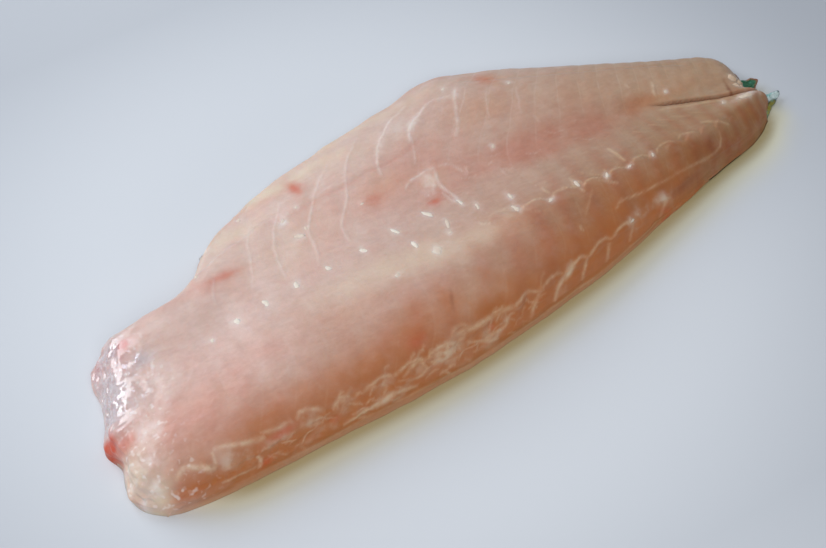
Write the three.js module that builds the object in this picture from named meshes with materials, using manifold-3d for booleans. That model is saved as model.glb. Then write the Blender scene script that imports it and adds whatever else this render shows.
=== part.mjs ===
// A skin-on fish fillet, cut from the left side of the fish and lying skin side down.
// +X runs from the cut behind the head to the tail, +Y from the back to the belly, +Z up.
// The origin is on the table, under the middle of the fillet's box. Sizes are in millimetres.
import * as THREE from "three";
import { mergeVertices } from "three/addons/utils/BufferGeometryUtils.js";
import Module from "manifold-3d";

// Overall sizes of the flesh in plan.
const length = 298; // from the cut behind the head to the end of the flesh at the tail
const width = 125; // from the back edge to the fullest part of the belly

// Heights of the flesh above the skin, each where that part is fullest.
const seamHeight = 11; // where the back's side wall meets the top
const loinHeight = 19; // the thick muscle along the back
const channelHeight = 13; // the hollow that the backbone was lifted from
const flankHeight = 12; // the muscle between the channel and the belly
const bellyHeight = 4.2; // the thin edge of the belly

// How far the top stands in from the foot of the walls.
const backLean = 5;
const bellyLean = 1.5;
const headLean = 9;
const tailLean = 3;
const wallBulge = 1.2; // how far the walls swell past a straight line

// The skin under the flesh.
const skinThickness = 0.8;
const skinGap = 0.3; // clearance between skin and flesh
const skinLip = 0.6; // how far the skin shows past the flesh along the sides
const tailTag = 6; // the shred of skin left beyond the flesh at the tail
const edgeLift = 1.2; // how far the skin's edges rise off the table
const edgeBand = 12; // how wide the rising band is

// The cleft that parts the tail into an upper and a lower strip.
const cleftLength = 50;
const cleftWidth = 2.4;
const cleftDepth = 4.5;
const cleftAcross = 0.36; // its place at the tail, from the back edge (0) to the belly edge (1)
const cleftTurn = -0.34; // its direction in plan, in radians from +X

// How finely the surfaces are divided.
const fleshSteps = { along: 52, across: 22, up: 3 };
const skinSteps = { along: 40, across: 10, up: 1 };

// A smooth curve through [place, value] pairs, read at any place.
function through(pairs) {
  const places = pairs.map((pair) => pair[0]);
  const values = pairs.map((pair) => pair[1]);
  const curve = new THREE.CubicInterpolant(places, values, 1);
  return (place) => curve.evaluate(place)[0];
}

// Edges in plan: place along the fillet, -1 at the head to 1 at the tail, and place across, -1 to 1.
const backEdge = through([
  [-1, -0.93], [-0.86, -0.98], [-0.56, -1], [-0.16, -0.99], [0.07, -0.93],
  [0.3, -0.835], [0.53, -0.7], [0.73, -0.58], [0.88, -0.5], [0.97, -0.4],
]);
const bellyEdge = through([
  [-0.96, 0.01], [-0.9, 0.13], [-0.79, 0.19], [-0.65, 0.27], [-0.56, 0.49], [-0.36, 0.73],
  [-0.14, 0.85], [0.1, 0.94], [0.24, 1], [0.38, 0.9], [0.6, 0.64], [0.77, 0.43],
  [0.87, 0.31], [0.94, 0.23], [1, 0.1],
]);

// The two ends in plan: place across, 0 at the back edge to 1 at the belly edge, and place along.
const headEnd = through([
  [0, -0.95], [0.05, -0.978], [0.16, -1], [0.27, -0.998], [0.38, -0.985], [0.52, -1], [0.64, -0.98], [0.8, -0.957], [1, -0.94],
]);
const tailEnd = through([[0, 0.96], [0.25, 1], [0.4, 0.97], [0.6, 0.98], [1, 0.99]]);

// How full each part is along the fillet, as a share of its own height.
const seamFullness = through([[-1, 0.75], [-0.7, 1], [0.1, 1], [0.6, 0.68], [1, 0.3]]);
const loinFullness = through([[-1, 0.72], [-0.75, 0.95], [-0.3, 1], [0.2, 0.93], [0.65, 0.68], [1, 0.4]]);
const channelFullness = through([[-1, 0.98], [-0.7, 1.24], [-0.35, 1.14], [0.1, 0.98], [0.4, 0.86], [0.7, 0.62], [1, 0.5]]);
const flankFullness = through([[-1, 0.95], [-0.72, 1.14], [-0.45, 0.92], [0, 0.95], [0.5, 0.95], [0.8, 0.8], [1, 0.5]]);
const bellyFullness = through([[-1, 1.6], [-0.7, 2.3], [-0.53, 0.9], [0, 1], [0.4, 1.2], [0.8, 1.05], [1, 0.8]]);

// A section's height over its foot, from the back edge (0) to the belly edge (1), at one place along.
function topHeight(along, across) {
  const section = through([
    [0, seamHeight * seamFullness(along)],
    [0.2, loinHeight * loinFullness(along)],
    [0.46, channelHeight * channelFullness(along)],
    [0.66, flankHeight * flankFullness(along)],
    [1, bellyHeight * bellyFullness(along)],
  ]);
  return section(across);
}

// A point of the plan, between the edges grown outwards by the four margins.
function planPoint(a, b, margin) {
  const along = THREE.MathUtils.lerp(headEnd(b), tailEnd(b), a);
  const headX = (headEnd(b) * length) / 2 - margin.head;
  const tailX = (tailEnd(b) * length) / 2 + margin.tail;
  const backY = (backEdge(along) * width) / 2 - margin.back;
  const bellyY = (bellyEdge(along) * width) / 2 + margin.belly;
  const point = new THREE.Vector3();
  point.x = THREE.MathUtils.lerp(headX, tailX, a);
  point.y = THREE.MathUtils.lerp(backY, bellyY, b);
  return { point, along, fromBack: b * (bellyY - backY), fromBelly: (1 - b) * (bellyY - backY) };
}

// How far the underside has risen off the table, near the two long edges.
function lift(plan) {
  const nearest = Math.min(plan.fromBack, plan.fromBelly);
  return edgeLift * (1 - THREE.MathUtils.smoothstep(nearest, 0, edgeBand));
}

// A closed solid between a lower and an upper surface, each a function of the places a and b, 0 to 1.
function solidBetween(lower, upper, bulge, steps) {
  const box = new THREE.BoxGeometry(1, 1, 1, steps.along, steps.across, steps.up);
  const corner = box.attributes.position;
  for (let i = 0; i < corner.count; i += 1) {
    const a = corner.getX(i) + 0.5;
    const b = corner.getY(i) + 0.5;
    const c = corner.getZ(i) + 0.5;
    const point = lower(a, b).lerp(upper(a, b), c);
    const swell = 4 * c * (1 - c) * bulge;
    if (b === 0 || b === 1) point.y += swell * Math.sign(b - 0.5);
    if (a === 0 || a === 1) point.x += swell * Math.sign(a - 0.5);
    corner.setXYZ(i, point.x, point.y, point.z);
  }
  return box;
}

// Places closer together near 0 and 1, where the surfaces turn down to the walls.
const crowdEnds = (t) => t - (0.45 * Math.sin(2 * Math.PI * t)) / (2 * Math.PI);

const fleshFoot = { head: 0, tail: 0, back: 0, belly: 0 };
const fleshTop = { head: -headLean, tail: -tailLean, back: -backLean, belly: -bellyLean };

function fleshLower(a, b) {
  const plan = planPoint(a, crowdEnds(b), fleshFoot);
  plan.point.z = lift(plan) + skinThickness + skinGap;
  return plan.point;
}

function fleshUpper(a, b) {
  const plan = planPoint(a, crowdEnds(b), fleshTop);
  plan.point.z = skinThickness + skinGap + topHeight(plan.along, crowdEnds(b));
  return plan.point;
}

function skinSurface(height) {
  return (a, b) => {
    const across = crowdEnds(b);
    const tag = tailTag * Math.sin(Math.PI * across) ** 2;
    const margin = { head: skinLip, tail: skinLip + tag, back: skinLip, belly: skinLip };
    const plan = planPoint(a, across, margin);
    plan.point.z = lift(plan) + height;
    return plan.point;
  };
}

// A mesh geometry as a solid that can be cut, and back again.
const wasm = await Module();
wasm.setup();

function toSolid(geometry) {
  const bare = new THREE.BufferGeometry();
  bare.setIndex(geometry.index);
  bare.setAttribute("position", geometry.attributes.position);
  const merged = mergeVertices(bare, 1e-4);
  return new wasm.Manifold(new wasm.Mesh({
    numProp: 3,
    vertProperties: merged.attributes.position.array,
    triVerts: new Uint32Array(merged.index.array),
  }));
}

function toGeometry(solid) {
  const { vertProperties, triVerts } = solid.getMesh();
  const geometry = new THREE.BufferGeometry();
  geometry.setAttribute("position", new THREE.BufferAttribute(vertProperties, 3));
  geometry.setIndex(new THREE.BufferAttribute(triVerts, 1));
  geometry.computeVertexNormals();
  return geometry;
}

// A wedge, edge down, that deepens towards the tail and runs out past it, to cut the cleft.
function cleftWedge() {
  const past = 12; // how far it stands out above the flesh and past the tail
  const sharpness = 0.2; // half the width of its lower edge
  const tail = planPoint(1, cleftAcross, fleshTop);
  const base = skinThickness + skinGap;
  const along = new THREE.Vector2(Math.cos(cleftTurn), Math.sin(cleftTurn));
  const innerHeight = base + topHeight(tail.along - (2 * cleftLength * along.x) / length, cleftAcross + 0.06);
  const tailHeight = base + topHeight(tail.along, cleftAcross) - cleftDepth;
  const spread = sharpness + (cleftWidth / 2 - sharpness) * (1 + past / cleftDepth);
  const wedge = new THREE.BoxGeometry(1, 1, 1);
  const corner = wedge.attributes.position;
  for (let i = 0; i < corner.count; i += 1) {
    const outward = corner.getX(i) > 0 ? past : -cleftLength;
    const low = corner.getZ(i) < 0;
    const sideways = 2 * corner.getY(i) * (low ? sharpness : spread);
    const floor = outward > 0 ? tailHeight : innerHeight;
    const height = low ? floor : innerHeight + past;
    const x = tail.point.x + outward * along.x - sideways * along.y;
    const y = tail.point.y + outward * along.y + sideways * along.x;
    corner.setXYZ(i, x, y, height);
  }
  return wedge;
}

function makeFlesh() {
  const block = toSolid(solidBetween(fleshLower, fleshUpper, wallBulge, fleshSteps));
  return toGeometry(block.subtract(toSolid(cleftWedge())));
}

function makeSkin() {
  return solidBetween(skinSurface(0), skinSurface(skinThickness), 0, skinSteps);
}

const fleshFinish = new THREE.MeshStandardMaterial({ color: 0xd9b09c, roughness: 0.35, metalness: 0 });
const skinFinish = new THREE.MeshStandardMaterial({ color: 0x6f7f6a, roughness: 0.4, metalness: 0.2 });

const flesh = new THREE.Mesh(makeFlesh(), fleshFinish);
flesh.name = "flesh";

const skin = new THREE.Mesh(makeSkin(), skinFinish);
skin.name = "skin";

// The fillet stands on the table with the middle of its box over the origin.
const fillet = new THREE.Group();
fillet.add(flesh, skin);
const box = new THREE.Box3().setFromObject(fillet);
const middle = box.getCenter(new THREE.Vector3());
for (const piece of [flesh, skin]) piece.position.set(-middle.x, -middle.y, -box.min.z);

export default fillet;
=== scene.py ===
import math
import bpy
import numpy as np
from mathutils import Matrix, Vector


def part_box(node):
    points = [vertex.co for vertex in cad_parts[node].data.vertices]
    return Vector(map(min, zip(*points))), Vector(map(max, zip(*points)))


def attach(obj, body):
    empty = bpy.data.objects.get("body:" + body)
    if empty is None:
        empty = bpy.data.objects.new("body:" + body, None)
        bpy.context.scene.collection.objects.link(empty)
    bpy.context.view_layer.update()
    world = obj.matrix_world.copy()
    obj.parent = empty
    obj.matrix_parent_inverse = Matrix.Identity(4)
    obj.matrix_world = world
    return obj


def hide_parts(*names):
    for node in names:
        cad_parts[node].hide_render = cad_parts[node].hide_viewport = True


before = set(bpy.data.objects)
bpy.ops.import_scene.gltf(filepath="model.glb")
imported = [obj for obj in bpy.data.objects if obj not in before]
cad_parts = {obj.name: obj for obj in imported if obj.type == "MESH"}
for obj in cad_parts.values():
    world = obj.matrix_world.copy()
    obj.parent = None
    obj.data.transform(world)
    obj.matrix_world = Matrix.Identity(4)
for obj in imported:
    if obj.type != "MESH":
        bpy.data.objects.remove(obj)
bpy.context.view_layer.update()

(fleshLow, fleshHigh), (skinLow, skinHigh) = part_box("flesh"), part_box("skin")
mm = 0.001


# curves and noise

# a smooth curve through (place, value) pairs: cubic pieces whose slope at each pair
# is that of its neighbours, held level past both ends
def curveThrough(pairs, t):
    place, value = np.array(pairs, dtype=float).T
    slope = np.gradient(value, place)
    t = np.clip(t, place[0], place[-1])
    i = np.clip(np.searchsorted(place, t) - 1, 0, len(place) - 2)
    gap = place[i + 1] - place[i]
    s = (t - place[i]) / gap
    return ((2 * s**3 - 3 * s**2 + 1) * value[i] + (s**3 - 2 * s**2 + s) * gap * slope[i]
            + (3 * s**2 - 2 * s**3) * value[i + 1] + (s**3 - s**2) * gap * slope[i + 1])


# 0 below low, 1 above high, with an s-shaped rise between them
def ease(low, high, t):
    s = np.clip((t - low) / (high - low), 0, 1)
    return s * s * (3 - 2 * s)


# a bump of height 1 at the centre, e to the minus distance squared over width squared
def bump(distance, width):
    return np.exp(-((distance / width) ** 2))


# smooth noise from -1 to 1: random values on a lattice of the given size in mm, eased between
def noise(x, y, size, seed):
    lattice = np.random.default_rng(seed).uniform(-1, 1, (256, 256))
    px, py = x / size + 97.3, y / size + 83.7
    ix, iy = np.floor(px).astype(int), np.floor(py).astype(int)
    fx, fy = px - ix, py - iy
    fx, fy = fx * fx * (3 - 2 * fx), fy * fy * (3 - 2 * fy)
    def at(dx, dy):
        return lattice[(ix + dx) % 256, (iy + dy) % 256]
    low = at(0, 0) * (1 - fx) + at(1, 0) * fx
    high = at(0, 1) * (1 - fx) + at(1, 1) * fx
    return low * (1 - fy) + high * fy


# three layers of the noise, each half as wide and half as high as the one before
def layeredNoise(x, y, size, seed):
    return sum(noise(x, y, size / 2**k, seed + k) / 2**k for k in range(3)) / 1.75


# mesh building

# a new object from points and faces, with its float attributes and smooth shading
def makePiece(name, points, faces, attributes=None):
    mesh = bpy.data.meshes.new(name)
    mesh.from_pydata(points.tolist(), [], faces)
    for key, values in (attributes or {}).items():
        mesh.attributes.new(key, "FLOAT", "POINT").data.foreach_set("value", values.astype(np.float32))
    mesh.polygons.foreach_set("use_smooth", [True] * len(mesh.polygons))
    mesh.update()
    piece = bpy.data.objects.new(name, mesh)
    bpy.context.collection.objects.link(piece)
    return piece


# the quads of a grid of points numbered row by row
def gridFaces(rows, columns):
    corner = (np.arange(rows - 1)[:, None] * columns + np.arange(columns - 1)).ravel()
    return np.stack([corner, corner + columns, corner + columns + 1, corner + 1], axis=1)


# closes a grid's open rim from below: a short lip goes straight down, then rings of points run from
# the rim to a line along the middle. the rim's points are numbered round, and each has the number of
# its point on the line
def closeBelow(points, rim, middle, middleOf, shares, level, lip):
    start, count = len(points), len(rim)
    share = np.array(shares)[:, None, None]
    between = points[rim] * (1 - share) + middle[middleOf] * share
    between[..., 2] = level
    between[0, :, 2] = points[rim, 2] - lip
    allPoints = np.concatenate([points, between.reshape(-1, 3), middle])
    ringIndex = [rim] + [start + k * count + np.arange(count) for k in range(len(shares))]
    ringIndex.append(start + len(shares) * count + middleOf)
    faces = []
    for outer, inner in zip(ringIndex[:-1], ringIndex[1:]):
        quad = np.stack([outer, inner, np.roll(inner, -1), np.roll(outer, -1)], axis=1)
        flat = quad[:, 1] == quad[:, 2]
        faces += quad[~flat].tolist() + quad[flat][:, [0, 1, 3]].tolist()
    return allPoints, faces


# a thin closed sheet: a grid of points, a copy of it pushed back along the normals, and a rim between
def closedSheet(grid, thickness):
    rows, columns = grid.shape[:2]
    below = grid - gridNormals(grid) * thickness
    count = rows * columns
    top = gridFaces(rows, columns)
    rim = np.concatenate([np.arange(columns)[::-1], np.arange(1, rows) * columns,
                          (rows - 1) * columns + np.arange(1, columns),
                          (np.arange(1, rows - 1) * columns + columns - 1)[::-1]])
    side = np.stack([rim, rim + count, np.roll(rim, -1) + count, np.roll(rim, -1)], axis=1)
    return (np.concatenate([grid.reshape(-1, 3), below.reshape(-1, 3)]),
        np.concatenate([top, top[:, ::-1] + count, side]).tolist())


# the unit normal at each point of a grid, across its two directions
def gridNormals(points):
    across = np.cross(np.gradient(points, axis=0), np.gradient(points, axis=1))
    return across / np.maximum(np.linalg.norm(across, axis=2, keepdims=True), 1e-9)


# camera, floor and lights

view = {
    "azimuth": -32, "elevation": 52, "distance": 0.553,
    "target": (-0.0209, -0.0162, 0), "lens": 65,
}

azimuth, elevation = math.radians(view["azimuth"]), math.radians(view["elevation"])
away = np.array([math.sin(azimuth) * math.cos(elevation), -math.cos(azimuth) * math.cos(elevation),
    math.sin(elevation)])
camera = bpy.data.objects.new("camera", bpy.data.cameras.new("camera"))
camera.location = np.array(view["target"]) + away * view["distance"]
camera.rotation_euler = (math.pi / 2 - elevation, 0, azimuth)
camera.data.lens = view["lens"]
camera.data.sensor_width = 36
camera.data.clip_start = 0.01
bpy.context.collection.objects.link(camera)
bpy.context.scene.camera = camera

lights = {
    "window": {"at": (-0.6, 1.5, 0.9), "size": (1.5, 0.9), "power": 17.6, "color": (0.93, 0.96, 1.0),
        "shine": True},
    "ceiling": {"at": (-0.4, -0.8, 1.2), "size": (1.5, 1.5), "power": 14, "color": (1.0, 0.98, 0.95),
        "shine": False},
    "back": {"at": (-0.2, 0.9, 1.05), "size": (0.25, 0.16), "power": 1.0, "color": (0.65, 0.80, 1.0),
        "shine": True},
    "left": {"at": (-1.0, 0.75, 0.85), "size": (0.45, 0.3), "power": 3.0, "color": (0.80, 0.88, 1.0),
        "shine": True},
}


def addLight(name, spec):
    data = bpy.data.lights.new(name, "AREA")
    data.shape = "RECTANGLE"
    data.size, data.size_y = spec["size"]
    data.energy = spec["power"]
    data.color = spec["color"]
    light = bpy.data.objects.new(name, data)
    light.location = spec["at"]
    light.visible_glossy = spec["shine"]
    toward = np.array([0, 0, 0.01]) - np.array(spec["at"])
    light.rotation_euler = (math.atan2(math.hypot(toward[0], toward[1]), -toward[2]), 0,
        math.atan2(toward[0], -toward[1]) + math.pi)
    bpy.context.collection.objects.link(light)
    return light


for lightName, lightSpec in lights.items():
    addLight(lightName, lightSpec)

bpy.context.scene.view_settings.view_transform = "Standard"
world = bpy.data.worlds.new("room")
world.use_nodes = True
world.node_tree.nodes["Background"].inputs["Color"].default_value = (0.80, 0.84, 0.90, 1)
world.node_tree.nodes["Background"].inputs["Strength"].default_value = 0.27
bpy.context.scene.world = world


# node helpers

# adds a node, sets its fields, and fills its inputs with values or links
def addNode(tree, kind, fields=None, inputs=None):
    node = tree.nodes.new(kind)
    for key, value in (fields or {}).items():
        setattr(node, key, value)
    for key, value in (inputs or {}).items():
        if isinstance(value, bpy.types.NodeSocket):
            tree.links.new(value, node.inputs[key])
        else:
            node.inputs[key].default_value = value
    return node


def readAttribute(tree, name):
    return addNode(tree, "ShaderNodeAttribute", {"attribute_name": name}).outputs["Fac"]


def mathNode(tree, operation, first, second=0.0, clamp=False):
    return addNode(tree, "ShaderNodeMath", {"operation": operation, "use_clamp": clamp},
        {0: first, 1: second}).outputs[0]


# a value carried from one range to another, held at the ends
def rangeNode(tree, value, low, high, toLow=0.0, toHigh=1.0, smooth=True):
    return addNode(tree, "ShaderNodeMapRange", {"interpolation_type": "SMOOTHSTEP" if smooth else "LINEAR"},
                   {0: value, 1: low, 2: high, 3: toLow, 4: toHigh}).outputs[0]


def mixColor(tree, factor, first, second, blend="MIX"):
    node = addNode(tree, "ShaderNodeMix", {"data_type": "RGBA", "blend_type": blend},
        {0: factor, 6: first, 7: second})
    return node.outputs[2]


def noiseNode(tree, where, scale, detail=3.0, roughness=0.5):
    return addNode(tree, "ShaderNodeTexNoise", None,
                   {"Vector": where, "Scale": scale, "Detail": detail, "Roughness": roughness}).outputs[0]


def newMaterial(name):
    material = bpy.data.materials.new(name)
    material.use_nodes = True
    tree = material.node_tree
    return material, tree, tree.nodes["Principled BSDF"]


# flesh

flesh = {
    "rows": 560, "columns": 168,  # stations along, points from the back foot to the belly foot
    "seam": 11.0, "loin": 19.0, "channel": 13.0, "flank": 12.0, "belly": 4.2,  # heights, mm
    "headSlope": 17.0, "tailSlope": 9.0,  # how far the ends take to rise, mm
    "bandSpacing": 12.6,  # from one muscle band to the next, mm
}

backEdge = [(-1, -.93), (-.86, -.98), (-.56, -1), (-.16, -.99), (.07, -.93), (.3, -.835), (.53, -.7),
    (.73, -.58), (.88, -.5), (.97, -.4)]
bellyEdge = [(-.96, .01), (-.9, .13), (-.79, .19), (-.65, .27), (-.56, .49), (-.36, .73), (-.14, .85),
             (.1, .94), (.24, 1),
             (.38, .9), (.6, .64), (.77, .43), (.87, .31), (.94, .23), (1, .1)]
headEnd = [(0, -.95), (.05, -.978), (.16, -1), (.27, -.998), (.38, -.985), (.52, -1), (.64, -.98),
    (.8, -.957), (1, -.94)]
tailEnd = [(0, .96), (.25, 1), (.4, .97), (.6, .98), (1, .99)]
seamFullness = [(-1, .75), (-.7, 1), (.1, 1), (.6, .68), (1, .3)]
loinFullness = [(-1, .72), (-.75, .95), (-.3, 1), (.2, .93), (.65, .68), (1, .4)]
channelFullness = [(-1, .98), (-.7, 1.24), (-.35, 1.14), (.1, .98), (.4, .86), (.7, .62), (1, .5)]
flankFullness = [(-1, .95), (-.72, 1.14), (-.45, .92), (0, .95), (.5, .95), (.8, .8), (1, .5)]
bellyFullness = [(-1, 1.6), (-.7, 2.3), (-.53, .9), (0, 1), (.4, 1.2), (.8, 1.05), (1, .8)]

# half the flesh's length and width, and the middle of its box, in mm
halfLength = (fleshHigh[0] - fleshLow[0]) / 2 / mm
halfWidth = (fleshHigh[1] - fleshLow[1]) / 2 / mm
middleX = (fleshHigh[0] + fleshLow[0]) / 2 / mm
middleY = (fleshHigh[1] + fleshLow[1]) / 2 / mm
fleshBase = fleshLow[2] / mm


# the plan of the flesh: u runs from the head end to the tail end and q from the back edge to the belly edge
def planOf(u, q, grow=0.0):
    headX = curveThrough(headEnd, q) * halfLength
    tailX = curveThrough(tailEnd, q) * halfLength
    x = headX * (1 - u) + tailX * u
    back = curveThrough(backEdge, x / halfLength) * halfWidth - grow
    belly = curveThrough(bellyEdge, x / halfLength) * halfWidth + grow
    return x, back * (1 - q) + belly * q, back, belly


rows, columns = flesh["rows"], flesh["columns"]
u = curveThrough([(0, 0), (.05, .012), (.12, .07), (.88, .93), (.95, .988), (1, 1)],
    np.linspace(0, 1, rows))[:, None]
v = np.linspace(0, 1, columns)[None, :]

# from the back foot up the side wall (v to 0.17), over the top, and down the thin belly rim (v from 0.95)
sectionPlaces = [0, .05, .1, .16, .19, .32, .5, .68, .86, .95, .985, 1]
sectionAcross = [0, -.006, .006, .032, .047, .2, .45, .66, .88, .975, .998, 1]
sectionShare = {
    "seam": [0, .4, .72, 1, 1.1, 0, 0, 0, 0, 0, 0, 0],
    "loin": [0, 0, 0, 0, .08, 1, 0, 0, 0, 0, 0, 0],
    "channel": [0, 0, 0, 0, 0, 0, 1, 0, 0, 0, 0, 0],
    "flank": [0, 0, 0, 0, 0, 0, 0, 1, .52, 0, 0, 0],
    "belly": [0, 0, 0, 0, 0, 0, 0, 0, .62, 1, .55, 0],
}
q = curveThrough(list(zip(sectionPlaces, sectionAcross)), v) + 0 * u
x, y, back, belly = planOf(u + 0 * v, q)
s = x / halfLength
fullness = {"seam": seamFullness, "loin": loinFullness, "channel": channelFullness, "flank": flankFullness,
    "belly": bellyFullness}
height = sum(curveThrough(list(zip(sectionPlaces, share)), v) * flesh[part] * curveThrough(fullness[part], s)
             for part, share in sectionShare.items())

# towards the tail the back's wall gives way to a quarter round up to the loin
crest = flesh["loin"] * curveThrough(loinFullness, s)
fromBack = np.clip((y - back) / 17, 0, 1)
rounding = ease(62, 102, x) * (1 - ease(.3, .36, v))
height = height * (1 - rounding) + crest * (1 - (1 - fromBack) ** 2.3) ** .55 * rounding

# both ends rise from the foot in a quarter round
fromHead = x - curveThrough(headEnd, q) * halfLength
fromTail = curveThrough(tailEnd, q) * halfLength - x
headRise = (1 - (1 - np.clip(fromHead / flesh["headSlope"], 0, 1)) ** 2.2) ** .6
tailRise = (1 - (1 - np.clip(fromTail / flesh["tailSlope"], 0, 1)) ** 2.4) ** .5
height = height * headRise * tailRise
x, y = x + middleX, y + middleY
wall = v / .16 + 0 * u                 # 0 at the back foot, 1 at the seam
onWall = 1 - ease(.94, 1.06, wall)
onTop = 1 - onWall
side = ((1 - ease(.85, 2.1, wall + .25 * noise(x, y, 7, 46))) * (1 - ease(78, 106, x))
    * ease(-144, -118, x + 3 * noise(x, y, 6, 45)))
nearFoot = ease(0, .02, u) * ease(0, .02, 1 - u)

# muscle bands: a whole number at each band's edge. the edges sweep towards the tail on the belly side
bandPlaces = [(-160, -4.4), (-102, 0), (-65, 3), (-36.5, 5), (-8, 7), (33.5, 10), (69, 13), (97, 16),
    (136, 21.3), (160, 25)]
sweep = np.where(y > 0, .4 * y + .0056 * y**2, .12 * y) - .012 * np.clip(-30 - y, 0, None) ** 2
sweep = sweep * np.where(y > 0, curveThrough([(-150, .3), (-60, .75), (-30, 1), (150, 1)], x), 1)
wander = 2.2 * noise(x, y, 22, 3) + .9 * noise(x, y, 9, 4)
band = curveThrough(bandPlaces, x - sweep + wander)
bandSpacing = flesh["bandSpacing"] * curveThrough([(-150, 1), (60, 1), (100, .75), (150, .6)], x)
toBand = np.abs(band - np.round(band)) * bandSpacing
perBand = noise(np.round(band) * 3.7, y * .06, 1, 5) * .5 + .5
bellyShow = ease(0, 16, y) * ease(-100, -70, x) * (1 - .7 * ease(20, 60, x))
bandShow = onTop * (bellyShow * ease(15, 60, x) * (.1 + .4 * perBand) + .06)

# the wavy line between the loin and the channel, arched between the band edges
scallopPath = curveThrough([(-40, -21), (0, -22), (15, -23), (33, -25), (58, -26.5), (80, -26),
    (105, -24.5), (130, -23.5), (150, -22)], x)
arch = np.abs(np.sin(math.pi * curveThrough(bandPlaces, x + .5 + 1.5 * noise(x, 0 * y, 11, 7))))
scallop = y - (scallopPath + (2.6 + noise(x, 0 * y, 14, 9)) * arch - .6 + .6 * noise(x, y, 4, 8))
scallopShow = onTop * ease(2, 22, x) * (1 - ease(112, 128, x))

# the cleft that parts the tail
cleft = y - curveThrough([(80, 5), (97, .4), (103, -1.9), (116.5, -6.6), (128.4, -10.9), (140, -13.9),
    (150, -16)], x)
cleftShow = ease(96, 110, x)

# the narrow strip along the belly edge of the tail half
strip = y - curveThrough([(30, 56), (45, 50), (60, 42.5), (75, 35.5), (90, 28.5), (105, 21), (120, 14),
    (135, 6.5), (150, -4)], x) - .5 * noise(x, y, 7, 12)
stripShow = ease(38, 50, x) * (1 - ease(118, 132, x))

# the belly flap starts at a notch, below a ridge that fades out
flap = (y - curveThrough([(-110, 11), (-97, 17.5), (-85, 22), (-70, 26), (-50, 31)], x)
    - .8 * noise(x, y, 5, 14))
flapShow = ease(-102, -92, x) * (1 - ease(-72, -48, x))

head = 1 - ease(-136, -116, x + 5 * noise(x, y, 12, 20) - .10 * (y + 20))
channel = bump(y - curveThrough([(-60, 10), (0, 7), (60, 6), (100, 2)], x),
    curveThrough([(-60, 7), (0, 9), (60, 8), (100, 3)], x)) * ease(-70, 10, x) * (1 - ease(92, 104, x))

# a soft patch of 1 at (px, py) falling off over (rx, ry), turned by an angle in degrees.
# across is y on the top, or mm up the wall
def patch(across, px, py, rx, ry, turn=0, ragged=.25):
    angle = math.radians(turn)
    dx, dy = x - px, across - py
    first = (dx * math.cos(angle) + dy * math.sin(angle)) / rx
    second = (dy * math.cos(angle) - dx * math.sin(angle)) / ry
    return np.exp(-(first**2 + second**2)
        * (1 + ragged * 2 * noise(x, across, min(rx, ry), int(abs(px * 7 + py)) % 90)))


# several patches together, each with its place, radii, strength and turn
def patches(items, across=y):
    return np.clip(sum(item[4] * patch(across, *item[:4], *item[5:]) for item in items), 0, 1)


wetPatches = [(-139, -8, 8, 10, 1), (-144, -19, 6, 8, 1), (-133, 3, 6, 4, 1), (-126, -8, 4, 3, .8),
    (-146, -52, 4, 6, .3)]


# soft strokes along paths: 1 on a path, falling off over its width, fading at both ends, and uneven along it
def strokes(px, py, items, seed):
    field = np.zeros(px.shape)
    for k, (width, tone, path) in enumerate(items):
        length = np.hypot(*np.diff(path, axis=0).T).sum()
        t = np.linspace(0, len(path) - 1, int(max(16 * len(path), 3 * length)))
        pathX, pathY = (curveThrough(list(zip(range(len(path)), part)), t)
            for part in np.array(path, dtype=float).T)
        pathX, pathY = (pathX + .25 * noise(t * 5, 0 * t, 2, seed + k),
            pathY + .25 * noise(t * 5, 0 * t + 9, 2, seed + k))
        strength = (tone * (4 * t * (len(path) - 1 - t) / (len(path) - 1) ** 2) ** .35
            * (.8 + .3 * noise(t * 5, 0 * t, 1.5, seed + 50 + k)))
        near = ((px > pathX.min() - 3) & (px < pathX.max() + 3) & (py > pathY.min() - 3)
            & (py < pathY.max() + 3))
        away = (px[near][:, None] - pathX) ** 2 + (py[near][:, None] - pathY) ** 2
        nearest = away.argmin(axis=1)
        field[near] = np.maximum(field[near], strength[nearest] * np.exp(-away.min(axis=1) / width**2))
    return field


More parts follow.
